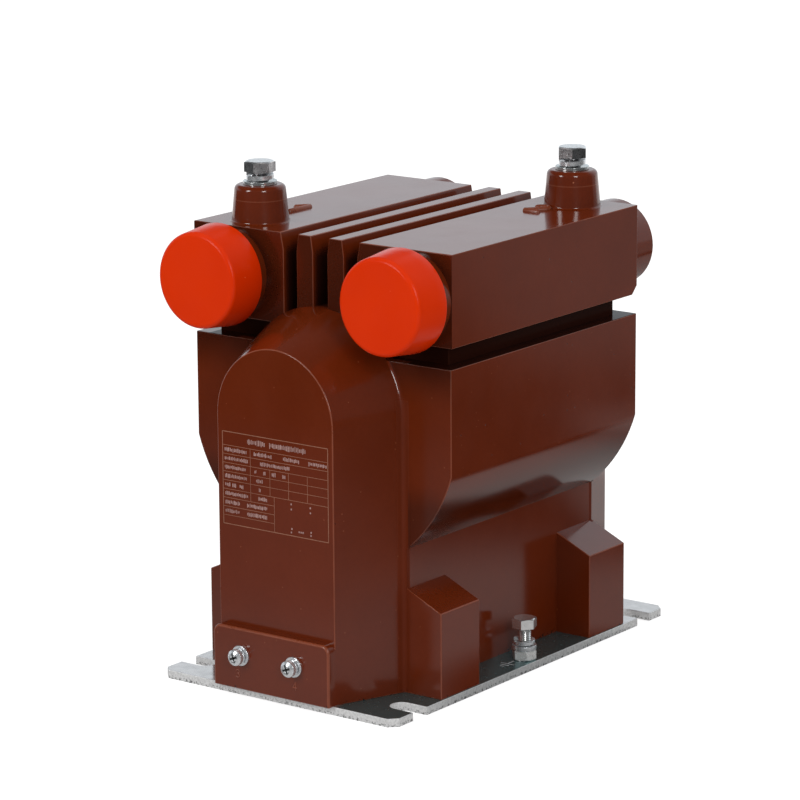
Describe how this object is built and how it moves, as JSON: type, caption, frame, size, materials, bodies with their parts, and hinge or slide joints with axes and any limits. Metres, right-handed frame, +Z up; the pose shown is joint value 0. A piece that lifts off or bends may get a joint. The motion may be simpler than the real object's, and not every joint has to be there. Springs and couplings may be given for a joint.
{
  "type": "voltage transformer",
  "caption": "Cast resin voltage transformer with screw-capped fuse holders, tapered terminal posts, nameplate arch, secondary terminals and slotted base plate.",
  "frame": {"origin": "middle of the underside of the base plate", "axes": "+Z up; the nameplate arch and the fuse caps face -Y; +X towards the earth bolt"},
  "size_m": [0.1918, 0.2915, 0.2999],
  "materials": {
    "resin": "gloss cast epoxy resin, red-brown",
    "cap_plastic": "semi-gloss orange-red moulding",
    "zinc": "bright zinc-plated steel",
    "plate_zinc": "zinc-plated steel plate with sheared edges",
    "brass": "turned brass",
    "spring_steel": "bare spring steel",
    "porcelain": "glazed fuse barrel",
    "rubber": "matt gasket",
    "core_steel": "silicon-steel strip core",
    "copper": "enamelled copper winding"
  },
  "bodies": {
    "root": {"resin_body": "resin", "base_plate": "plate_zinc", "base_screws": "zinc", "base_inserts": "brass", "fuse_cap_left": "cap_plastic", "fuse_cap_right": "cap_plastic", "cap_gasket_left": "rubber", "cap_gasket_right": "rubber", "contact_plug_left": "brass", "contact_plug_right": "brass", "contact_spring_left": "spring_steel", "contact_spring_right": "spring_steel", "front_sleeve_left": "brass", "front_sleeve_right": "brass", "rear_cup_left": "brass", "rear_cup_right": "brass", "fuse_barrel_left": "porcelain", "fuse_barrel_right": "porcelain", "front_ferrule_left": "zinc", "front_ferrule_right": "zinc", "rear_ferrule_left": "zinc", "rear_ferrule_right": "zinc", "terminal_insert_a": "brass", "terminal_insert_b": "brass", "terminal_washer_a": "zinc", "terminal_washer_b": "zinc", "terminal_spring_washer_a": "zinc", "terminal_spring_washer_b": "zinc", "terminal_bolt_a": "zinc", "terminal_bolt_b": "zinc", "secondary_insert_a": "brass", "secondary_insert_b": "brass", "secondary_washer_a": "zinc", "secondary_washer_b": "zinc", "secondary_spring_washer_a": "zinc", "secondary_spring_washer_b": "zinc", "secondary_screw_a": "zinc", "secondary_screw_b": "zinc", "earth_nut": "zinc", "earth_washers": "zinc", "earth_spring_washer": "zinc", "earth_bolt": "zinc", "core": "core_steel", "core_strap": "copper", "primary_winding": "copper", "secondary_winding": "copper", "primary_lead_a": "copper", "primary_lead_b": "copper", "secondary_lead_a": "copper", "secondary_lead_b": "copper"}
  },
  "joints": []
}
